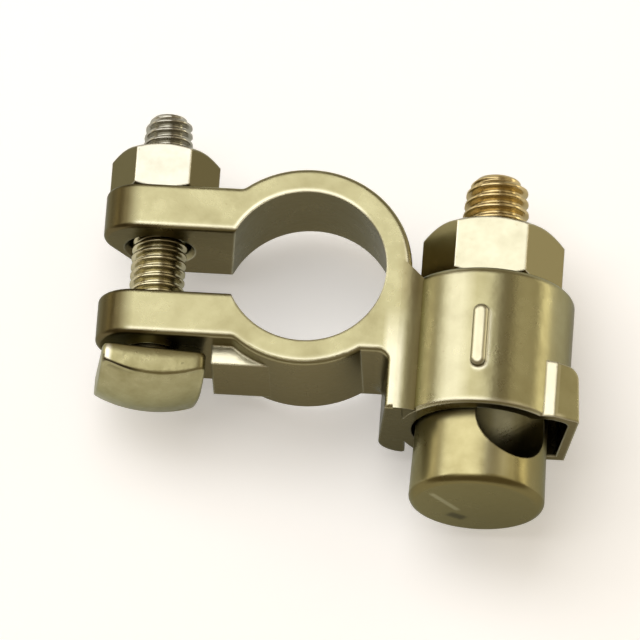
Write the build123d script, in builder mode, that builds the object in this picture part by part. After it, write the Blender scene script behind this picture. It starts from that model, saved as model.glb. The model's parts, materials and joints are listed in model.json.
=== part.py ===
from build123d import *
from math import cos, radians, sin, sqrt, tan
import os

# Battery terminal clamp, in millimetres.
# Frame: origin on the axis of the post bore, halfway up the clamp. +Z runs up the battery post,
# +X points from the ears to the cable housing, and +Y is the way both threaded ends point.

# Post bore and the ring round it
clamp_height = 12.2
post_top_r = 8.5
post_taper = 9.0  # the bore gains 1 mm of diameter for each 9 mm down
cast_bore_r = 7.5
ring_r = 11.2
edge_r = 0.5

# Ears, with the clamping gap between them
ear_gap = 7.0
ear_thickness = 5.1
ear_tip_x = -21.9
ear_corner_r = 4.1
ear_end_slant = 31.0  # degrees that the end leans in towards the underside
ear_heel_r = 1.5
ear_root_r = 0.9
bolt_x = -16.0
bolt_hole_r = 3.3
bolt_hole_bevel = 0.5

# Pad under the lower ear, which stops the square bolt head from turning
pad_x = -9.4
pad_y = -10.7
pad_top_z = 3.6
pad_bottom_z = -4.8

# Cheek that joins the ring to the cable housing, a tangent to the ring, and the web in its corner
cheek_top_x = 9.35
cheek_bottom_x = 8.2
cheek_corner_r = 2.7
web_y = -9.2
web_fillet_r = 1.2
gusset_rise = 0.8
gusset_reach = 1.6
gusset_half_width = 5.0

# Cable housing, a cup that opens downwards along -Y
stud_x = 19.4
housing_r = 9.0
housing_length = 15.6
housing_rim_r = 0.9
housing_roof = 3.0
housing_bore_r = 7.4
mouth_bevel = 0.25
stud_hole_r = 4.2

# Lobe on the housing's far side, a hollow that lengthens the rim the cable is drawn against
lobe_end_x = 29.8
lobe_shoulder_x = 27.2
lobe_mouth_z = 4.7
lobe_end_slant = 9.0  # degrees that the end leans in towards the underside
lobe_top_y = -8.5
lobe_top_fall = 1.2
lobe_draft = 0.4
lobe_nose_r = 1.4
lobe_wall = 1.0
pocket_top_y = -10.6
pocket_corner_r = 1.2

# Rib on the housing's front
rib_x = 18.9
rib_width = 1.6
rib_top_y = -4.6
rib_length = 7.0
rib_height = 0.65
rib_edge_r = 0.45

# Clamp bolt: M6, with a crowned square head and a tapered lead to its thread
bolt_r = 2.92
bolt_lead_y = 12.4
bolt_lead_r = 2.45
bolt_point_y = 17.8
bolt_top_y = 18.5
bolt_top_r = 1.8
head_width = 11.0
head_corner_r = 0.5
head_turn = -7.5  # degrees about the bolt
head_seat_y = -9.9
head_height = 4.1
head_crown_r = 13.0

# Cable stud: M8, with a cross-drilled cylindrical head that widens towards its end
stud_r = 3.92
stud_lead_y = 4.5
stud_lead_r = 3.25
stud_point_y = 12.3
stud_top_y = 13.3
stud_top_r = 2.3
plug_r = 7.0
plug_end_r = 7.2
plug_end_y = -23.8
plug_top_y = -11.3
plug_edge_r = 0.9
plug_top_bevel = 0.4
eye_r = 4.3
eye_y = -15.9
eye_turn = 55.0  # degrees from +X towards +Z

# Nuts, which hold their threads at the crests
nut_clearance = 0.06
nut_bevel = 30.0  # degrees
nut_countersink = 0.4
clamp_nut_width = 10.0
clamp_nut_height = 5.2
clamp_nut_turn = 0.0
cable_nut_width = 13.0
cable_nut_height = 6.8
cable_nut_turn = 0.0

half_height = clamp_height / 2
post_bottom_r = post_top_r + clamp_height / (2 * post_taper)
ear_inner_y = ear_gap / 2
ear_outer_y = ear_inner_y + ear_thickness


def seat_at(x, y):
    """The plane across a bolt that stands at x, facing +Y at height y."""
    return Plane(origin=(x, y, 0), x_dir=(1, 0, 0), z_dir=(0, 1, 0))


def axis_at(x):
    """The axis of a bolt that stands at x."""
    return Axis((x, 0, 0), (0, 1, 0))


def hex_nut(x, y, width, height, bore_r, turn):
    """A hexagon nut seated at height y, bevelled outside and countersunk inside on both faces."""
    corner_r = width / 2 / cos(radians(30))
    face_r = 0.96 * width / 2
    drop = (corner_r - face_r) * tan(radians(nut_bevel))
    with BuildPart() as nut:
        with BuildSketch(seat_at(x, y)):
            RegularPolygon(radius=corner_r, side_count=6, rotation=turn)
        extrude(amount=height)
        with BuildSketch(Plane((x, y, 0))):
            with BuildLine():
                Polyline(
                    (bore_r + nut_countersink, 0), (face_r, 0), (corner_r, drop),
                    (corner_r, height - drop), (face_r, height), (bore_r + nut_countersink, height),
                    (bore_r, height - nut_countersink), (bore_r, nut_countersink), close=True,
                )
            make_face()
        revolve(axis=axis_at(x), mode=Mode.INTERSECT)
    return nut


os.makedirs("parts", exist_ok=True)

# Lobe: its side view carried across, then cut to its outline from above
mouth_fall = (lobe_mouth_z + half_height) * tan(radians(lobe_end_slant))
lobe_plan = [
    (stud_x, half_height), (lobe_shoulder_x, half_height), (lobe_end_x, lobe_mouth_z),
    (lobe_end_x - mouth_fall, -half_height), (stud_x, -half_height),
]
with BuildPart() as lobe:
    with BuildSketch(Plane.XY.offset(-half_height)) as lobe_side:
        with BuildLine():
            Polyline(
                (stud_x, lobe_top_y), (lobe_end_x - lobe_draft, lobe_top_y - lobe_top_fall),
                (lobe_end_x, -housing_length), (stud_x, -housing_length), close=True,
            )
        make_face()
        fillet(lobe_side.vertices().group_by(Axis.X)[-2], lobe_nose_r)
    extrude(amount=clamp_height)
    with BuildSketch(Plane.XZ):
        with BuildLine():
            Polyline(*lobe_plan, close=True)
        make_face()
    extrude(amount=housing_length, mode=Mode.INTERSECT)

# Clamp body: one brass casting
with BuildPart() as clamp_body:
    with BuildSketch(Plane.XY.offset(-half_height)):
        Circle(ring_r)
    extrude(amount=clamp_height)

    # the two ears, outlined from above and carried along the bolt
    slant = radians(ear_end_slant)
    touch_x = ear_tip_x + ear_corner_r * (1 - cos(slant))
    touch_z = half_height - ear_corner_r * (1 + sin(slant))
    for top_y in (ear_outer_y, -ear_inner_y):
        with BuildSketch(Plane.XZ.offset(-top_y)) as ear_plan:
            with BuildLine():
                Polyline(
                    (-post_top_r / 2, half_height),
                    (touch_x - (half_height - touch_z) * tan(slant), half_height),
                    (touch_x + (half_height + touch_z) * tan(slant), -half_height),
                    (-post_top_r / 2, -half_height),
                    close=True,
                )
            make_face()
            fillet(ear_plan.vertices().group_by(Axis.Y)[0].sort_by(Axis.X)[0], ear_heel_r)
            fillet(ear_plan.vertices().group_by(Axis.Y)[-1].sort_by(Axis.X)[0], ear_corner_r)
        extrude(amount=ear_thickness)

    # the cheek, thicker towards the underside, and its web
    with BuildSketch(Plane.XZ) as cheek_plan:
        with BuildLine():
            Polyline(
                (cheek_top_x, half_height), (ring_r, half_height),
                (ring_r, -half_height), (cheek_bottom_x, -half_height), close=True,
            )
        make_face()
        fillet(cheek_plan.vertices().group_by(Axis.Y)[0].sort_by(Axis.X)[0], cheek_corner_r)
    extrude(amount=housing_length)
    with BuildSketch(Plane.XY.offset(-half_height)):
        with BuildLine():
            Polyline(
                (0, 0), (ring_r, 0), (ring_r, web_y),
                (sqrt(ring_r**2 - web_y**2), web_y), close=True,
            )
        make_face()
    extrude(amount=clamp_height)

    # the clamping gap, and the bore as cast, before it is machined
    with BuildSketch(Plane.XY.offset(-half_height)):
        Circle(cast_bore_r)
        with Locations((ear_tip_x, 0)):
            Rectangle(-2 * ear_tip_x, ear_gap)
    extrude(amount=clamp_height, mode=Mode.SUBTRACT)

    # cast corners and edges, while the casting is still a flat form
    upright = clamp_body.edges().filter_by(Axis.Z)
    fillet([e for e in upright if abs(abs(e.center().Y) - ear_outer_y) < 0.01], ear_root_r)
    web_edges = clamp_body.faces().filter_by(Axis.Y).filter_by_position(Axis.Y, web_y, web_y).edges()
    fillet(web_edges.sort_by(Axis.X)[-1], web_fillet_r)
    # the rounding runs on round the ears' ends to the underside
    outline = clamp_body.faces().sort_by(Axis.Z)[-1].edges()
    kept = outline.filter_by(Axis.Y).filter_by_position(Axis.X, ear_tip_x, 0)
    kept += outline.filter_by(GeomType.CIRCLE).group_by(SortBy.LENGTH)[-1]
    fillet([edge for edge in outline if edge not in kept], edge_r)

    # the pad that keys the bolt head
    with BuildSketch(Plane.XY.offset(pad_bottom_z)):
        with BuildLine():
            Polyline(
                (pad_x, -ear_inner_y - edge_r), (pad_x, pad_y), (-sqrt(ring_r**2 - pad_y**2), pad_y),
                (-ring_r / 2, -ear_inner_y - edge_r), close=True,
            )
        make_face()
    extrude(amount=pad_top_z - pad_bottom_z)

    # the gusset in the notch between the ring and the housing's rim
    with BuildSketch(Plane.XY.offset(-gusset_half_width)):
        with BuildLine():
            Polyline(
                (ring_r - gusset_rise, gusset_rise), (ring_r, gusset_rise),
                (ring_r + gusset_reach, -housing_rim_r), (ring_r - gusset_rise, -housing_rim_r), close=True,
            )
        make_face()
    extrude(amount=2 * gusset_half_width)

    # the cable housing, turned about the stud
    with BuildSketch(Plane((stud_x, 0, 0))) as housing_profile:
        with BuildLine():
            Polyline(
                (0, 0), (housing_r, 0), (housing_r, -housing_length), (0, -housing_length), close=True,
            )
        make_face()
        fillet(housing_profile.vertices().group_by(Axis.Y)[-1].sort_by(Axis.X)[-1], housing_rim_r)
        chamfer(housing_profile.vertices().group_by(Axis.Y)[0].sort_by(Axis.X)[-1], mouth_bevel)
    revolve(axis=axis_at(stud_x))
    add(lobe.part)

    # the rib on its front
    with BuildSketch(Plane.XY.offset(housing_r - 1)):
        with Locations((rib_x, rib_top_y - rib_length / 2)):
            SlotOverall(rib_length, rib_width, rotation=90)
    extrude(amount=1 + rib_height)
    fillet(clamp_body.faces().sort_by(Axis.Z)[-1].edges(), rib_edge_r)

    # the holes: the tapered post bore, the cup, the pocket in the lobe, and the two bolt holes
    Cone(post_bottom_r, post_top_r, clamp_height, mode=Mode.SUBTRACT)
    with BuildSketch(Plane.XZ.offset(housing_length)):
        with Locations((stud_x, 0)):
            Circle(housing_bore_r)
    extrude(amount=housing_roof - housing_length, mode=Mode.SUBTRACT)
    with BuildSketch(Plane.XZ.offset(housing_length)) as pocket_plan:
        with BuildLine():
            Polyline(*lobe_plan, close=True)
        make_face()
        offset(amount=-lobe_wall, mode=Mode.REPLACE)
        fillet(pocket_plan.vertices().group_by(Axis.X)[-1], pocket_corner_r)
    extrude(amount=pocket_top_y + housing_length, dir=(0, 1, 0), mode=Mode.SUBTRACT)
    with BuildSketch(Plane.XZ):
        with Locations((stud_x, 0)):
            Circle(stud_hole_r)
    extrude(amount=housing_roof, mode=Mode.SUBTRACT)
    with BuildSketch(Plane((bolt_x, 0, 0))):
        with BuildLine():
            Polyline(
                (0, -ear_outer_y), (bolt_hole_r, -ear_outer_y), (bolt_hole_r, -ear_inner_y - bolt_hole_bevel),
                (bolt_hole_r + bolt_hole_bevel, -ear_inner_y), (bolt_hole_r + bolt_hole_bevel, ear_inner_y),
                (bolt_hole_r, ear_inner_y + bolt_hole_bevel), (bolt_hole_r, ear_outer_y), (0, ear_outer_y),
                close=True,
            )
        make_face()
    revolve(axis=axis_at(bolt_x), mode=Mode.SUBTRACT)

# Clamp bolt: square head with a crowned end, shank to the crests of its thread
with BuildPart() as clamp_bolt:
    with BuildSketch(Plane.XZ.offset(-head_seat_y)) as head_plan:
        with Locations((bolt_x, 0)):
            Rectangle(head_width, head_width, rotation=head_turn)
        fillet(head_plan.vertices(), head_corner_r)
    extrude(amount=head_height)
    with Locations((bolt_x, head_seat_y - head_height + head_crown_r, 0)):
        Sphere(head_crown_r, mode=Mode.INTERSECT)
    with BuildSketch(Plane((bolt_x, 0, 0))):
        with BuildLine():
            Polyline(
                (0, head_seat_y), (bolt_r, head_seat_y), (bolt_r, bolt_lead_y), (bolt_lead_r, bolt_point_y),
                (bolt_top_r, bolt_top_y), (0, bolt_top_y), close=True,
            )
        make_face()
    revolve(axis=axis_at(bolt_x))

# Cable stud: turned in one piece, with the eye that holds the cable
with BuildPart() as cable_stud:
    with BuildSketch(Plane((stud_x, 0, 0))) as stud_profile:
        with BuildLine():
            Polyline(
                (0, plug_end_y), (plug_end_r, plug_end_y), (plug_r, eye_y), (plug_r, plug_top_y),
                (stud_r, plug_top_y), (stud_r, stud_lead_y), (stud_lead_r, stud_point_y),
                (stud_top_r, stud_top_y), (0, stud_top_y), close=True,
            )
        make_face()
        fillet(stud_profile.vertices().group_by(Axis.Y)[0].sort_by(Axis.X)[-1], plug_edge_r)
        chamfer(stud_profile.vertices().group_by(Axis.Y)[2].sort_by(Axis.X)[-1], plug_top_bevel)
    revolve(axis=axis_at(stud_x))
    eye_way = Vector(cos(radians(eye_turn)), 0, sin(radians(eye_turn)))
    with BuildSketch(Plane((stud_x, eye_y, 0), x_dir=(0, 1, 0), z_dir=eye_way)):
        Circle(eye_r)
    extrude(amount=plug_end_r, both=True, mode=Mode.SUBTRACT)

clamp_nut = hex_nut(
    bolt_x, ear_outer_y, clamp_nut_width, clamp_nut_height, bolt_r + nut_clearance, clamp_nut_turn,
)
cable_nut = hex_nut(
    stud_x, 0, cable_nut_width, cable_nut_height, stud_r + nut_clearance, cable_nut_turn,
)

pieces = {
    "clamp_body": clamp_body,
    "clamp_bolt": clamp_bolt,
    "clamp_nut": clamp_nut,
    "cable_stud": cable_stud,
    "cable_nut": cable_nut,
}
for name, piece in pieces.items():
    piece.part.label = name
    export_step(piece.part, f"parts/{name}.step")
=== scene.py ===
"""The battery terminal clamp's finish: cast and turned brass, rolled threads, pale floor, studio light."""

import json
from collections import namedtuple
from math import cos, pi, radians, sin

import bmesh
import bpy
import numpy as np
from mathutils import Matrix, Vector
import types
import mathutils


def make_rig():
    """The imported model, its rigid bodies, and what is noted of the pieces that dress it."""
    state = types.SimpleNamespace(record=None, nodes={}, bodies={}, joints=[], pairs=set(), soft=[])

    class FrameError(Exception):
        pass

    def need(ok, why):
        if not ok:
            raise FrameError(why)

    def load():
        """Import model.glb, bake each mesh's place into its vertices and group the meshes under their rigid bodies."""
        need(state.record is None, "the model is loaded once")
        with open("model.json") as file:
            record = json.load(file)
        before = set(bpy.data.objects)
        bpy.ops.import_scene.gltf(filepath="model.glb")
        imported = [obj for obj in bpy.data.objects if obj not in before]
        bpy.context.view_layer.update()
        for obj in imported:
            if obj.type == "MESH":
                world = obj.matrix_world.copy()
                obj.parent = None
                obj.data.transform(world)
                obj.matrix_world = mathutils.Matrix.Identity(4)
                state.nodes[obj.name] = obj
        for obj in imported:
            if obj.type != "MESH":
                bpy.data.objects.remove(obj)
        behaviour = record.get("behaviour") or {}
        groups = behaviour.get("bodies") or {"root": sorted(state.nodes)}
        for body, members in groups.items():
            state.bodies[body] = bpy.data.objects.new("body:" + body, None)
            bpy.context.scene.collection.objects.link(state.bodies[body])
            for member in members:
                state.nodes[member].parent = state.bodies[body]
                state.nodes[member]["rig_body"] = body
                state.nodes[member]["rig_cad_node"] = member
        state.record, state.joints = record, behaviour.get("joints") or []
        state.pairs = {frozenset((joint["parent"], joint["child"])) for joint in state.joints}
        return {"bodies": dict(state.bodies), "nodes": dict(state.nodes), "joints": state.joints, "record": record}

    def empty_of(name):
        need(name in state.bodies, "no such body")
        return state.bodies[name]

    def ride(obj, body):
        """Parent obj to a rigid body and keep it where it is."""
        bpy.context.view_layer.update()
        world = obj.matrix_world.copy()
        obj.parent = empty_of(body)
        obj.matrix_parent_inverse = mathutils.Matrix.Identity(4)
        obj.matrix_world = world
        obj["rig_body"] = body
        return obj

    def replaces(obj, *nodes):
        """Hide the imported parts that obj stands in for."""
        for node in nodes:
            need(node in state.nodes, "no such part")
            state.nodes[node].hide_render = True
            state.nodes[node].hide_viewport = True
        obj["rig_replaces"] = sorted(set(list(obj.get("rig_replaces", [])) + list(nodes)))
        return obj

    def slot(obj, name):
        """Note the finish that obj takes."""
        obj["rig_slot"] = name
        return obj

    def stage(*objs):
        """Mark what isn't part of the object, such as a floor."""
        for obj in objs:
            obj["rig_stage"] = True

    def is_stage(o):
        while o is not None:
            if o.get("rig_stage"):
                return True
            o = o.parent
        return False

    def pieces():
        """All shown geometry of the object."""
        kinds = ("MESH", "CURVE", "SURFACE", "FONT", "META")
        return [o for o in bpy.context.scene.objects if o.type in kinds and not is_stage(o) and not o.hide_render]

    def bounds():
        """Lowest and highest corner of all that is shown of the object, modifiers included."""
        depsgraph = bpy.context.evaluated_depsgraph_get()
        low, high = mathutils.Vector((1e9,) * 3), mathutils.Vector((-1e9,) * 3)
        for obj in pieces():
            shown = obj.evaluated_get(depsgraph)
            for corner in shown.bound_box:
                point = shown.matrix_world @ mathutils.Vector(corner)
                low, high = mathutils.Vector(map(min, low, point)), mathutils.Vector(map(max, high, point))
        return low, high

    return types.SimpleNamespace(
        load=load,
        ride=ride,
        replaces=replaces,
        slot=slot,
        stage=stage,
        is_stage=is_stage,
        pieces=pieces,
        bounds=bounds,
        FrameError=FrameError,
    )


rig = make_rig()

MM = 0.001

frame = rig.load()
with open("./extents.json", "w") as size_file:
    json.dump({"loaded": [list(corner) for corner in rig.bounds()]}, size_file)

# Camera: a long lens, above the clamp and on the side of the two heads
view_aim = Vector((1.89, -6.10, 6.10)) * MM
view_azimuth = radians(-7.67)
view_elevation = radians(67.19)
view_roll = radians(-3.99)
view_distance = 1263.8 * MM
view_lens = 675.0
view_reach = 10.0
sensor_width = 36.0

# Softboxes: name, lean towards +Y and swing towards -X in degrees, distance and two sides in metres,
# radiance and tint
warm = (1.0, 0.92, 0.70)
white = (1.0, 1.0, 1.0)
softboxes = [
    ("key", 22.6, 27, 0.60, 0.86, 0.30, 2.5, white),
    ("front", -3, 14, 0.60, 0.42, 0.22, 1.9, white),
    ("side", 22.6, -52, 0.60, 0.30, 0.34, 0.7, warm),
    ("right_edge", 22.6, -84, 0.60, 0.12, 0.34, 3.4, warm),
    ("left_edge", 22.6, 84, 0.60, 0.12, 0.30, 1.8, warm),
]
room_light = 0.35
room_colour = (1.0, 0.80, 0.52, 1)

# Floor
floor_reach = 3.0
floor_gap = 0.0002
floor_shade = (0.90, 0.90, 0.91, 1)
floor_white = 0.33
floor_roughness = 0.9

# Threads, in the CAD shafts' own millimetres: the crests follow the shafts
clamp_thread = {"x": -16.0, "crest": 2.92, "pitch": 1.0, "bottom": -9.9, "neck": -8.6,
                "lead": 12.4, "lead_crest": 2.45, "point": 17.8, "tip": 1.8, "top": 18.5}
stud_thread = {"x": 19.4, "crest": 3.92, "pitch": 1.25, "bottom": -11.3, "neck": -10.5,
               "lead": 4.5, "lead_crest": 3.25, "point": 12.3, "tip": 2.3, "top": 13.3}
thread_depth = 0.56  # of the pitch
thread_flat = 0.12  # of the groove's wave, cut off at crest and at root
steps_round = 128
steps_per_turn = 18

# Square head of the clamp bolt
head_seat = -9.9
head_height = 4.1
head_width = 11.0
head_squareness = 16
head_crown = 13.0
head_round = 0.45
head_rubbed_round = 1.5
head_rubbed_corner = radians(135)
head_rubbed_spread = 6
head_bevel = 0.15
head_turn = 7.5
head_steps = 256
head_crown_start = 0.03
head_crown_rings = 24
head_round_rings = 8
head_side_levels = (0.04, 0.5, 0.96)
head_seat_shares = (1.0, 0.97, 0.5, 0.04)

# Head of the cable stud, cut from the CAD stud just above the shank's foot, and its cross hole
merge_distance = 1e-7
foot_slack = 0.05
# The cross hole's place, size and turn, which put painted shade inside it
eye_y = -15.9
eye_radius = 4.3
eye_turn = radians(55)
eye_fade = 0.1

# Root between cheek and housing
root_from = 10.2
root_to = 12.9
root_height = 6.12
root_fall = 0.6
root_dish = 2.2
root_stations = 13
root_foot = 3.4
root_mouth = -15.58
notch_start = 1.42
notch_slope = 0.85

# Finish that the pieces share
sharp_angle = radians(30)
# Near-black for painted shade between parts and in recesses, and for a dirty dimple on the plug's end
dirt_and_shade_colour = (0.06, 0.047, 0.019)
grazing_tint = (0.62, 0.65, 0.60, 1)
fine_noise = {"Detail": 3.0, "Roughness": 0.6}
slow_noise = {"Detail": 5.0, "Roughness": 0.62}
mottle_from, mottle_to = 0.32, 0.68
pits_from, pits_to = 0.69, 0.76
pit_strength = 0.5
polish_gain, polish_loss = 0.04, 0.05
edge_flat, edge_turned = 0.995, 0.90
edge_band = 2.4
# Front edges, which carry a painted highlight, face this way
front_way = (0.6, -0.8, 0.0)
front_from, front_to = 0.02, 0.14

# The Mix node's colour sockets, which share their names with its number sockets
mix_first, mix_second, mix_result = 6, 7, 2

Place = namedtuple("Place", "x y z up")


def aim_frame(azimuth, elevation, roll):
    """A camera's turn: it looks from +Y towards +X by the azimuth, down by the elevation, and is rolled."""
    upright = Matrix.Rotation(-azimuth, 4, "Z") @ Matrix.Rotation(radians(90) - elevation, 4, "X")
    return upright @ Matrix.Rotation(roll, 4, "Z")


def place_camera():
    lens = bpy.data.cameras.new("camera")
    lens.sensor_width = sensor_width
    lens.lens = view_lens
    lens.clip_end = view_reach
    camera = bpy.data.objects.new("camera", lens)
    turn = aim_frame(view_azimuth, view_elevation, view_roll)
    stand = view_aim + turn @ Vector((0, 0, view_distance))
    camera.matrix_world = Matrix.Translation(stand) @ turn
    bpy.context.collection.objects.link(camera)
    bpy.context.scene.camera = camera


def place_softbox(name, lean, swing, distance, width, height, radiance, tint):
    """An area lamp that faces the origin, leant back about X and then swung about Y."""
    light = bpy.data.lights.new(name, "AREA")
    light.shape = "RECTANGLE"
    light.size = width
    light.size_y = height
    light.color = tint
    light.energy = radiance * pi * width * height
    lamp = bpy.data.objects.new(name, light)
    turn = Matrix.Rotation(radians(-swing), 4, "Y") @ Matrix.Rotation(radians(-lean), 4, "X")
    lamp.matrix_world = turn @ Matrix.Translation((0, 0, distance))
    bpy.context.collection.objects.link(lamp)


def light_room():
    world = bpy.data.worlds.new("studio")
    bpy.context.scene.world = world
    world.use_nodes = True
    backdrop = world.node_tree.nodes["Background"]
    backdrop.inputs["Color"].default_value = room_colour
    backdrop.inputs["Strength"].default_value = room_light


def new_object(name, points, faces, material, smooth=True):
    mesh = bpy.data.meshes.new(name)
    mesh.from_pydata(points.tolist(), [], faces)
    mesh.polygons.foreach_set("use_smooth", np.full(len(mesh.polygons), smooth))
    mesh.materials.append(material)
    mesh.update()
    piece = bpy.data.objects.new(name, mesh)
    bpy.context.collection.objects.link(piece)
    return piece


def closed_tube(name, x, radius, height, material):
    """A surface of rings about the line through x along +Y, closed by a fan at each end, facing outwards.

    radius and height are arrays of rings by steps, from the lowest ring up: step j of a ring stands at the
    angle 2 pi j / steps, from +Z towards +X.
    """
    rings, steps = radius.shape
    angle = np.linspace(0, 2 * pi, steps, endpoint=False)
    around = [x + radius * np.sin(angle), height, radius * np.cos(angle)]
    poles = np.array([[x, height[0].mean(), 0], [x, height[-1].mean(), 0]])
    points = np.vstack([np.stack(around, axis=2).reshape(-1, 3), poles]) * MM
    ring = np.arange(rings * steps).reshape(rings, steps)
    after = np.roll(ring, -1, axis=1)
    sides = np.stack([ring[:-1], after[:-1], after[1:], ring[1:]], axis=2).reshape(-1, 4)
    pole = np.full(steps, rings * steps)
    first_fan = np.stack([after[0], ring[0], pole], axis=1)
    last_fan = np.stack([ring[-1], after[-1], pole + 1], axis=1)
    return new_object(name, points, sides.tolist() + first_fan.tolist() + last_fan.tolist(), material)


def threaded_shank(name, thread, material):
    """A shank with a rolled thread: radius = crest(y) - depth * groove(y / pitch - angle / 2 pi).

    groove is a raised cosine with flats at crest and root. It fades in above the plain neck and out at the
    top. The crest line tapers along the lead and rounds off at the point.
    """
    count = int((thread["top"] - thread["bottom"]) / thread["pitch"] * steps_per_turn)
    line = np.linspace(thread["bottom"], thread["top"], count)
    stations = [thread["bottom"], thread["lead"], thread["point"], thread["top"]]
    crest = np.interp(line, stations, [thread["crest"], thread["crest"], thread["lead_crest"], thread["tip"]])
    angle = np.linspace(0, 2 * pi, steps_round, endpoint=False)
    phase = line[:, None] / thread["pitch"] - angle[None, :] / (2 * pi)
    wave = 0.5 + 0.5 * np.cos(2 * pi * phase)
    groove = np.clip((wave - thread_flat) / (1 - 2 * thread_flat), 0, 1)
    run_out = np.clip((line - thread["neck"]) / thread["pitch"], 0, 1)
    fade = np.clip((thread["top"] - line) / thread["pitch"], 0, 1)
    radius = crest[:, None] - thread_depth * thread["pitch"] * (run_out * fade)[:, None] * groove
    height = np.repeat(line[:, None], steps_round, axis=1)
    return closed_tube(name, thread["x"], radius, height, material)


def square_head(name, material):
    """The bolt's head: a crowned, rounded square, seated at head_seat.

    At the angle a its reach is width / 2 / (|cos a|^n + |sin a|^n)^(1 / n), and the crown stands at
    seat - height + R - sqrt(R^2 - r^2). A quarter round joins crown and sides, wider at the rubbed corner,
    and the seat has a small bevel.
    """
    angle = np.linspace(0, 2 * pi, head_steps, endpoint=False) - radians(head_turn)
    squared = np.abs(np.cos(angle)) ** head_squareness + np.abs(np.sin(angle)) ** head_squareness
    reach = head_width / 2 / squared ** (1 / head_squareness)

    def crown(radius):
        return head_seat - head_height + head_crown - np.sqrt(head_crown**2 - radius**2)

    share = np.linspace(head_crown_start, 1, head_crown_rings)[:, None]
    turn = np.linspace(0, pi / 2, head_round_rings + 1)[1:, None]
    rubbed = np.clip(np.cos(angle - head_rubbed_corner), 0, 1) ** head_rubbed_spread
    edge = head_round + (head_rubbed_round - head_round) * rubbed
    crown_radius = share * (reach - edge)
    round_radius = reach - edge + edge * np.sin(turn)
    round_height = crown(reach - edge) + edge - edge * np.cos(turn)
    level = np.array(head_side_levels)[:, None]
    side_radius = np.repeat(reach[None, :], len(head_side_levels), axis=0)
    side_height = (1 - level) * round_height[-1] + level * (head_seat - head_bevel)
    seat_radius = (reach - head_bevel) * np.array(head_seat_shares)[:, None]
    seat_height = np.full((len(head_seat_shares), head_steps), head_seat)
    radius = np.vstack([crown_radius, round_radius, side_radius, seat_radius])
    height = np.vstack([crown(crown_radius), round_height, side_height, seat_height])
    return closed_tube(name, clamp_thread["x"], radius, height, material)


def cast_root(name, material):
    """The root between cheek and housing: a dished strip, carried along Y up to the slant of the notch.

    Across the strip, from root_from to root_to, its top falls by root_fall * share ** root_dish. The faces
    look outwards.
    """
    share = np.linspace(0, 1, root_stations)
    across = root_from + (root_to - root_from) * share
    top = root_height - root_fall * share**root_dish
    loop_x = np.concatenate([across, [root_to, root_from]])
    loop_z = np.concatenate([top, [root_foot, root_foot]])
    notch_y = notch_start - (loop_x - root_from) * notch_slope
    mouth = np.stack([loop_x, np.full(loop_x.size, root_mouth), loop_z], axis=1)
    notch = np.stack([loop_x, notch_y, loop_z], axis=1)
    count = loop_x.size
    here = np.arange(count)
    after = np.roll(here, -1)
    sides = np.stack([here, after, after + count, here + count], axis=1).tolist()
    ends = [here[::-1].tolist(), (here + count).tolist()]
    root = new_object(name, np.vstack([mouth, notch]) * MM, sides + ends, material)
    root.data.set_sharp_from_angle(angle=sharp_angle)
    return root


def bare_head(node, thread, material):
    """A copy of a CAD piece without its shank: what stands above the seat goes, and the hole is closed."""
    work = bmesh.new()
    work.from_mesh(frame["nodes"][node].data)
    bmesh.ops.remove_doubles(work, verts=work.verts, dist=merge_distance)
    above = [vertex for vertex in work.verts if vertex.co.y > (thread["bottom"] + foot_slack) * MM]
    bmesh.ops.delete(work, geom=above, context="VERTS")
    rim = [edge for edge in work.edges if edge.is_boundary]
    bmesh.ops.holes_fill(work, edges=rim, sides=0)
    bmesh.ops.recalc_face_normals(work, faces=work.faces)
    mesh = bpy.data.meshes.new(node + "_head")
    work.to_mesh(mesh)
    work.free()
    mesh.materials.clear()
    mesh.materials.append(material)
    mesh.set_sharp_from_angle(angle=sharp_angle)
    piece = bpy.data.objects.new(node + "_head", mesh)
    bpy.context.collection.objects.link(piece)
    return piece


def add(tree, kind, sockets=None, **settings):
    """A node with its settings and inputs: an input is a value, or another node's output to be linked."""
    node = tree.nodes.new(kind)
    for setting, value in settings.items():
        setattr(node, setting, value)
    for socket, value in (sockets or {}).items():
        if isinstance(value, bpy.types.NodeSocket):
            tree.links.new(value, node.inputs[socket])
        else:
            node.inputs[socket].default_value = value
    return node


def new_group(name, inputs, outputs):
    group = bpy.data.node_groups.new(name, "ShaderNodeTree")
    for label, value in inputs.items():
        socket = group.interface.new_socket(label, in_out="INPUT", socket_type="NodeSocketFloat")
        socket.default_value = value
    for label, kind in outputs.items():
        group.interface.new_socket(label, in_out="OUTPUT", socket_type=kind)
    return group, group.nodes.new("NodeGroupInput"), group.nodes.new("NodeGroupOutput")


def ranged(tree, value, low, high, from_low=0.0, from_high=1.0):
    """The value's way from from_low to from_high, as a way from low to high, and held beyond them."""
    sockets = {"Value": value, "From Min": from_low, "From Max": from_high, "To Min": low, "To Max": high}
    return add(tree, "ShaderNodeMapRange", sockets).outputs["Result"]


def grain_group():
    """Cast or rolled skin on Object coordinates: a fine height, a slow mottle and small pits, from 0 to 1."""
    group, given, result = new_group(
        "grain", {"Fine Scale": 1500.0, "Mottle Scale": 260.0},
        {"Height": "NodeSocketFloat", "Mottle": "NodeSocketFloat", "Pits": "NodeSocketFloat"})
    place = add(group, "ShaderNodeTexCoord").outputs["Object"]
    fine = add(group, "ShaderNodeTexNoise",
               {"Vector": place, "Scale": given.outputs["Fine Scale"], **fine_noise}).outputs["Fac"]
    slow = add(group, "ShaderNodeTexNoise",
               {"Vector": place, "Scale": given.outputs["Mottle Scale"], **slow_noise}).outputs["Fac"]
    group.links.new(fine, result.inputs["Height"])
    group.links.new(ranged(group, fine, 0.0, 1.0, pits_from, pits_to), result.inputs["Pits"])
    group.links.new(ranged(group, slow, 0.0, 1.0, mottle_from, mottle_to), result.inputs["Mottle"])
    return group


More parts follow.
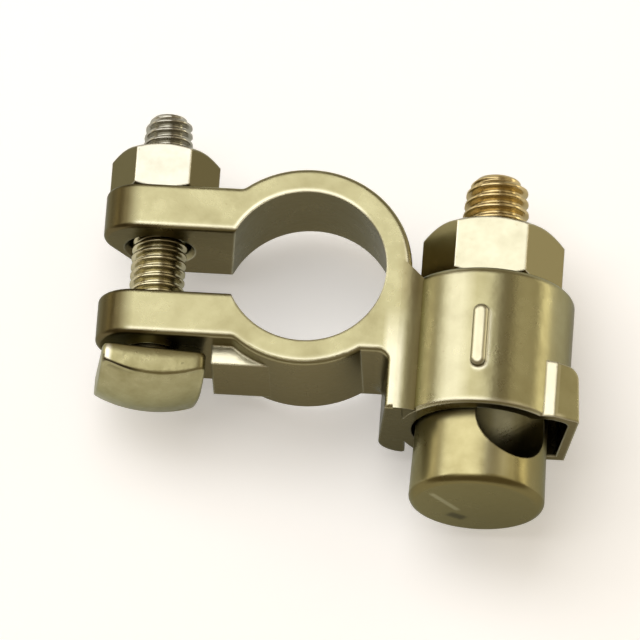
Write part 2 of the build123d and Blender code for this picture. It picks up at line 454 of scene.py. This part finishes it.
def edge_group():
    """Edges: a normal rounded over a radius, a mask that is 1 on the edge, and one for front edges.

    The front is front_way: between the way that the bolt's head points and the cable side. Front edges get a painted
    highlight from it.
    """
    group, given, result = new_group(
        "worn_edge", {"Radius": 0.0003, "Band": 0.0008},
        {"Normal": "NodeSocketVector", "Mask": "NodeSocketFloat", "Front": "NodeSocketFloat"})
    soft = add(group, "ShaderNodeBevel", {"Radius": given.outputs["Radius"]}, samples=6).outputs["Normal"]
    wide = add(group, "ShaderNodeBevel", {"Radius": given.outputs["Band"]}, samples=8).outputs["Normal"]
    flat = add(group, "ShaderNodeNewGeometry").outputs["Normal"]
    level = add(group, "ShaderNodeVectorMath", {0: soft, 1: flat}, operation="DOT_PRODUCT").outputs["Value"]
    lean = add(group, "ShaderNodeVectorMath", {0: wide, 1: flat}, operation="SUBTRACT").outputs["Vector"]
    ahead = add(group, "ShaderNodeVectorMath", {0: lean, 1: front_way},
                operation="DOT_PRODUCT").outputs["Value"]
    group.links.new(soft, result.inputs["Normal"])
    group.links.new(ranged(group, level, 0.0, 1.0, edge_flat, edge_turned), result.inputs["Mask"])
    group.links.new(ranged(group, ahead, 0.0, 1.0, front_from, front_to), result.inputs["Front"])
    return group


def between_group():
    """A soft-edged stretch: 1 well inside the two limits, falling to 0 at them over the soft width."""
    group, given, result = new_group(
        "between", {"Value": 0.0, "Low": 0.0, "High": 1.0, "Soft": 0.1}, {"Mask": "NodeSocketFloat"})
    value, soft = given.outputs["Value"], given.outputs["Soft"]
    above = add(group, "ShaderNodeMath", {0: value, 1: given.outputs["Low"]}, operation="SUBTRACT")
    below = add(group, "ShaderNodeMath", {0: given.outputs["High"], 1: value}, operation="SUBTRACT")
    nearer = add(group, "ShaderNodeMath", {0: above.outputs[0], 1: below.outputs[0]}, operation="MINIMUM")
    mask = add(group, "ShaderNodeMath", {0: nearer.outputs[0], 1: soft}, operation="DIVIDE", use_clamp=True)
    group.links.new(mask.outputs[0], result.inputs["Mask"])
    return group


def mixed(tree, factor, first, second):
    """The first colour, turning to the second as the factor goes from 0 to 1."""
    mix = add(tree, "ShaderNodeMix", {"Factor": factor}, data_type="RGBA")
    for socket, value in ((mix_first, first), (mix_second, second)):
        if isinstance(value, bpy.types.NodeSocket):
            tree.links.new(value, mix.inputs[socket])
        else:
            mix.inputs[socket].default_value = (*value, 1)
    return mix.outputs[mix_result]


def combined(tree, operation, *masks):
    """The masks multiplied together, or the largest of them."""
    total = masks[0]
    for mask in masks[1:]:
        total = add(tree, "ShaderNodeMath", {0: total, 1: mask}, operation=operation).outputs[0]
    return total


def dimmed(tree, mask, most):
    return ranged(tree, mask, 0.0, most)


def rises(start, end, most=1.0):
    """A ramp for mark: 0 up to start, and most from end on."""
    return lambda tree, value: ranged(tree, value, 0.0, most, start, end)


def falls(start, end, most=1.0):
    """A ramp for mark: most up to start, and 0 from end on."""
    return lambda tree, value: ranged(tree, value, most, 0.0, start, end)


def inside(low, high, soft=0.1):
    """A ramp for mark: 1 between the limits, with soft edges."""
    def ramp(tree, value):
        limits = {"Value": value, "Low": low, "High": high, "Soft": soft}
        return add(tree, "ShaderNodeGroup", limits, node_tree=between_tree).outputs["Mask"]
    return ramp


def mark(tree, at, **ramps):
    """The ramps on x, y, z in millimetres and on up, how far a face looks up, multiplied together."""
    return combined(tree, "MULTIPLY", *[ramp(tree, getattr(at, axis)) for axis, ramp in ramps.items()])


def patch(tree, flat, centre, turn, half_size, soft):
    """1 in a soft-edged rectangle of that half size about the centre, turned by that many degrees."""
    sockets = {"Vector": flat, "Location": (*centre, 0), "Rotation": (0, 0, radians(turn))}
    spot = add(tree, "ShaderNodeMapping", sockets, vector_type="TEXTURE").outputs["Vector"]
    along = add(tree, "ShaderNodeSeparateXYZ", {"Vector": spot}).outputs
    first = inside(-half_size[0], half_size[0], soft[0])(tree, along["X"])
    second = inside(-half_size[1], half_size[1], soft[1])(tree, along["Y"])
    return combined(tree, "MULTIPLY", first, second)


def place_in(tree):
    """The point's place in millimetres and how far its face looks up, both in the piece's own frame."""
    place = add(tree, "ShaderNodeTexCoord").outputs
    scaled = add(tree, "ShaderNodeVectorMath", {0: place["Object"], "Scale": 1 / MM}, operation="SCALE")
    point = add(tree, "ShaderNodeSeparateXYZ", {"Vector": scaled.outputs["Vector"]}).outputs
    facing = add(tree, "ShaderNodeSeparateXYZ", {"Vector": place["Normal"]}).outputs["Z"]
    return Place(point["X"], point["Y"], point["Z"], facing)


def cast_shade_and_highlights(tree, edge):
    """Painted shade on the casting's sides, the ears' ends, the crease beside the housing and the cheek's back
    half; darker painted shade on the cheek's end and the ears' ends; painted highlights on front edges, web, rib, pad,
    lobe and housing."""
    at = place_in(tree)
    # Painted shade: sides, the ears' ends, the crease beside the housing and the cheek's back half are darker
    side = mark(tree, at, up=falls(0.15, 0.45))
    ear_end_shade = mark(tree, at, up=falls(0.86, 0.98), x=falls(-17.0, -15.0))
    crease_shade = mark(tree, at, x=inside(12.0, 12.9, 0.8), z=rises(3.0, 4.0, 0.9), y=falls(0.5, 2.5))
    cheek_back_shade = combined(tree, "MULTIPLY", mark(tree, at, x=falls(12.0, 13.0), y=rises(-5.0, -2.0)),
                          mark(tree, at, x=rises(9.6, 10.6, 0.5)))
    dark = combined(tree, "MAXIMUM", side, ear_end_shade, crease_shade, cheek_back_shade)

    # Darker painted shade on the cheek's end and the ears' ends
    cheek_end_shade = mark(tree, at, up=falls(0.15, 0.45), x=inside(6.5, 13.0, 0.5), y=falls(-12.5, -11.0, 0.75))
    ear_tip_shade = mark(tree, at, x=falls(-19.4, -17.8, 0.85), up=rises(0.3, 0.6))
    dirt_and_shade = combined(tree, "MAXIMUM", cheek_end_shade, dimmed(tree, ear_end_shade, 0.6), ear_tip_shade)

    # Painted highlights on the rib, pad, lobe, web, housing and front edges
    rib = mark(tree, at, z=rises(9.2, 9.4, 0.7))
    pad = mark(tree, at, up=rises(0.85, 0.95), z=inside(3.3, 3.9), y=inside(-11.5, -7.0))
    lobe = mark(tree, at, up=rises(0.85, 0.95), x=inside(26.0, 27.6), z=inside(5.7, 6.5))
    web = mark(tree, at, up=rises(0.85, 0.95), x=inside(8.6, 11.2, 0.6), y=falls(-9.0, -4.0, 0.85))
    housing = mark(tree, at, x=inside(14.2, 18.3, 1.5), z=rises(6.6, 7.4, 0.4))
    front = combined(tree, "MULTIPLY", edge.outputs["Front"],
                     mark(tree, at, up=rises(0.75, 0.9), z=rises(5.4, 5.8), x=rises(-18.8, -18.2)))
    return dark, combined(tree, "MAXIMUM", rib, pad, lobe, web, housing, front), dirt_and_shade


def head_shade_and_highlight(tree, edge):
    """Painted shade in a dark line along the -X half of the head's upper edge, and a painted highlight on the corner
    at its end.
    """
    at = place_in(tree)
    # Painted shade along the edge
    edge_shade = mark(tree, at, up=inside(0.38, 0.96), x=inside(-21.5, -16.4, 1.4), z=rises(3.0, 4.0),
               y=falls(-11.2, -11.0))
    # Painted highlight on the corner
    corner = mark(tree, at, x=falls(-20.1, -19.7), up=rises(0.8, 0.95))
    return edge_shade, corner, None


def plug_marks_shade_and_highlight(tree, edge):
    """Painted shade on the sawn end and the +X side, a pale scratch and a dirty dimple on the end, a painted highlight
    in a band along the side, and painted shade in the eye."""
    at = place_in(tree)
    # Painted shade on the sawn end and on the +X side
    end = mark(tree, at, y=falls(-23.15, -22.9))
    plug_side_shade = mark(tree, at, x=rises(23.2, 23.8, 0.75))
    flat = add(tree, "ShaderNodeCombineXYZ", {"X": at.x, "Y": at.z}).outputs["Vector"]
    scratch = patch(tree, flat, centre=(16.1, 0.8), turn=-57, half_size=(2.8, 0.42), soft=(0.6, 0.25))
    dimple = patch(tree, flat, centre=(17.3, -3.0), turn=-35, half_size=(1.25, 0.85), soft=(0.5, 0.5))
    # Painted highlight in a band along the side
    rubbed = mark(tree, at, x=inside(20.0, 23.0, 0.8), y=rises(-22.9, -22.7, 0.6))

    # how far the point is from the line through the eye
    level = add(tree, "ShaderNodeCombineXYZ", {"X": at.x, "Z": at.z}).outputs["Vector"]
    across = add(tree, "ShaderNodeVectorMath", {0: level, 1: (sin(eye_turn), 0, -cos(eye_turn))},
                 operation="DOT_PRODUCT").outputs["Value"]
    off_eye = add(tree, "ShaderNodeCombineXYZ", {"X": across, "Y": at.y}).outputs["Vector"]
    distance = add(tree, "ShaderNodeVectorMath", {0: off_eye, 1: (stud_thread["x"] * sin(eye_turn), eye_y, 0)},
                   operation="DISTANCE").outputs["Value"]
    # Painted shade inside the cross hole
    eye_shade = falls(eye_radius, eye_radius + eye_fade, 0.45)(tree, distance)

    pale = dimmed(tree, combined(tree, "MULTIPLY", end, scratch), 0.4)
    return (combined(tree, "MAXIMUM", end, plug_side_shade), combined(tree, "MAXIMUM", pale, rubbed),
            combined(tree, "MAXIMUM", dimmed(tree, dimple, 0.9), eye_shade))


def nut_side_shade(tree, edge):
    """Painted shade on every side but the flat that looks up when the clamp is at rest."""
    return mark(tree, place_in(tree), up=falls(0.6, 0.9)), None, None


def thread_skin(tree, edge):
    """The end beyond the nut is greyer than the rest."""
    return None, mark(tree, place_in(tree), y=rises(12.0, 13.0)), None


def no_skin(tree, edge):
    """An even finish."""
    return None, None, None


def brass(name, light, dark, worn_and_highlight, pits_and_shade, roughness, fine_scale, mottle_scale, depth, edge_radius,
          marks=no_skin):
    """Brass that mottles from light to dark, with fine relief of that depth and worn, softened edges.

    marks gives three masks, or None: painted shade, in the colour that the pits also take; wear and painted
    highlights, in the worn edges' colour; and real dirt and painted shade, in the near-black dirt colour. Lengths are
    in millimetres.
    """
    material = bpy.data.materials.new(name)
    material.use_nodes = True
    tree = material.node_tree
    shader = tree.nodes["Principled BSDF"]
    grain = add(tree, "ShaderNodeGroup", {"Fine Scale": fine_scale, "Mottle Scale": mottle_scale},
                node_tree=grain_tree)
    edge = add(tree, "ShaderNodeGroup", {"Radius": edge_radius * MM, "Band": edge_band * edge_radius * MM},
               node_tree=edge_tree)
    # The first mask is painted shade, the second wear and painted highlights, the third dirt and painted shade
    painted_shade, rubbed, dirt_and_shade = marks(tree, edge)
    mottled = mixed(tree, grain.outputs["Mottle"], light, dark)
    metal = mixed(tree, dimmed(tree, grain.outputs["Pits"], pit_strength), mottled, pits_and_shade)
    shaded = mixed(tree, painted_shade, metal, pits_and_shade) if painted_shade else metal
    wear_and_highlight = combined(tree, "MAXIMUM", edge.outputs["Mask"], rubbed) if rubbed else edge.outputs["Mask"]
    colour = mixed(tree, wear_and_highlight, shaded, worn_and_highlight)
    colour = mixed(tree, dirt_and_shade, colour, dirt_and_shade_colour) if dirt_and_shade else colour
    polish = ranged(tree, grain.outputs["Mottle"], roughness - polish_gain, roughness + polish_loss)
    relief = add(tree, "ShaderNodeBump",
                 {"Height": grain.outputs["Height"], "Distance": depth * MM, "Strength": 1.0,
                  "Normal": edge.outputs["Normal"]})
    tree.links.new(colour, shader.inputs["Base Color"])
    tree.links.new(polish, shader.inputs["Roughness"])
    tree.links.new(relief.outputs["Normal"], shader.inputs["Normal"])
    shader.inputs["Metallic"].default_value = 1.0
    shader.inputs["Specular Tint"].default_value = grazing_tint
    return material


def lay_floor():
    """A pale plane just under the clamp, which camera, metal and glass see nearly white."""
    reach = floor_reach
    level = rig.bounds()[0][2] - floor_gap
    corners = np.array([[-reach, -reach, level], [reach, -reach, level],
                        [reach, reach, level], [-reach, reach, level]])
    material = bpy.data.materials.new("floor")
    material.use_nodes = True
    tree = material.node_tree
    shader = tree.nodes["Principled BSDF"]
    shader.inputs["Base Color"].default_value = floor_shade
    shader.inputs["Roughness"].default_value = floor_roughness
    shader.inputs["Emission Color"].default_value = (1, 1, 1, 1)
    ray = add(tree, "ShaderNodeLightPath").outputs
    seen = combined(tree, "MAXIMUM", ray["Is Camera Ray"], ray["Is Glossy Ray"], ray["Is Transmission Ray"])
    tree.links.new(dimmed(tree, seen, floor_white), shader.inputs["Emission Strength"])
    floor = new_object("floor", corners, [[0, 1, 2, 3]], material, smooth=False)
    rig.stage(floor)


grain_tree = grain_group()
edge_tree = edge_group()
between_tree = between_group()

# The casting's pits share their colour with its painted shade, and its worn edges with its painted highlights
cast_tones = {"light": (0.298, 0.281, 0.162), "dark": (0.26, 0.239, 0.129), "worn_and_highlight": (0.53, 0.51, 0.38),
              "pits_and_shade": (0.178, 0.144, 0.069)}
cast_grain = {"fine_scale": 1400, "mottle_scale": 240, "depth": 0.02}
rolled_grain = {"fine_scale": 1500, "mottle_scale": 500}
plated_grain = {"fine_scale": 900, "mottle_scale": 300, "depth": 0.004}
casting = brass("casting", **cast_tones, **cast_grain, roughness=0.29, edge_radius=0.35, marks=cast_shade_and_highlights)
root_casting = brass(
    "root_casting", **cast_tones, **cast_grain, roughness=0.33, edge_radius=0.02, marks=cast_shade_and_highlights)
# The bolt's near-black colour is for its pits and its painted shade line
bolt_metal = brass(
    "bolt_metal", light=(0.345, 0.322, 0.178), dark=(0.275, 0.252, 0.125), worn_and_highlight=(0.56, 0.54, 0.44),
    pits_and_shade=(0.06, 0.05, 0.03), **rolled_grain, depth=0.015, roughness=0.30, edge_radius=0.3, marks=head_shade_and_highlight)
bolt_thread_metal = brass(
    "bolt_thread_metal", light=(0.52, 0.485, 0.33), dark=(0.42, 0.38, 0.24), worn_and_highlight=(0.37, 0.36, 0.31),
    pits_and_shade=(0.25, 0.22, 0.14), **rolled_grain, depth=0.010, roughness=0.24, edge_radius=0.1, marks=thread_skin)
# The nuts' darker colour is painted shade on their sides
clamp_nut_metal = brass(
    "clamp_nut_metal", light=(0.42, 0.41, 0.35), dark=(0.39, 0.38, 0.31), worn_and_highlight=(0.60, 0.58, 0.48),
    pits_and_shade=(0.125, 0.104, 0.046), **plated_grain, roughness=0.20, edge_radius=0.3, marks=nut_side_shade)
cable_nut_metal = brass(
    "cable_nut_metal", light=(0.40, 0.385, 0.29), dark=(0.37, 0.355, 0.255), worn_and_highlight=(0.60, 0.58, 0.48),
    pits_and_shade=(0.26, 0.22, 0.10), **plated_grain, roughness=0.20, edge_radius=0.3, marks=nut_side_shade)
# The stud's darker colour is painted shade on its end and +X side
stud_metal = brass(
    "stud_metal", light=(0.335, 0.305, 0.162), dark=(0.285, 0.253, 0.124), worn_and_highlight=(0.44, 0.42, 0.27),
    pits_and_shade=(0.166, 0.140, 0.057), fine_scale=900, mottle_scale=300, depth=0.008, roughness=0.30,
    edge_radius=0.25, marks=plug_marks_shade_and_highlight)
thread_gold = brass(
    "thread_gold", light=(0.56, 0.46, 0.255), dark=(0.44, 0.34, 0.16), worn_and_highlight=(0.6, 0.52, 0.3),
    pits_and_shade=(0.25, 0.2, 0.1), fine_scale=900, mottle_scale=500, depth=0.008, roughness=0.24, edge_radius=0.1)
for name, material in (("clamp_body", casting), ("clamp_nut", clamp_nut_metal), ("cable_nut", cable_nut_metal),
                       ("clamp_bolt", bolt_metal), ("cable_stud", stud_metal)):
    node = frame["nodes"][name]
    node.data.materials.clear()
    node.data.materials.append(material)

bolt_pieces = [threaded_shank("clamp_bolt_thread", clamp_thread, bolt_thread_metal),
               square_head("clamp_bolt_head", bolt_metal)]
stud_pieces = [threaded_shank("cable_stud_thread", stud_thread, thread_gold),
               bare_head("cable_stud", stud_thread, stud_metal)]
for node, pieces in (("clamp_bolt", bolt_pieces), ("cable_stud", stud_pieces)):
    for piece in pieces:
        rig.ride(piece, node)
        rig.replaces(piece, node)
        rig.slot(piece, node)

root = cast_root("clamp_body_root", root_casting)
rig.ride(root, "clamp")
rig.slot(root, "casting")

place_camera()
for softbox in softboxes:
    place_softbox(*softbox)
light_room()
lay_floor()
bpy.context.scene.view_settings.view_transform = "Standard"

with open("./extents.json") as size_file:
    size = json.load(size_file)
size["finished"] = [list(corner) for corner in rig.bounds()]
with open("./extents.json", "w") as size_file:
    json.dump(size, size_file)
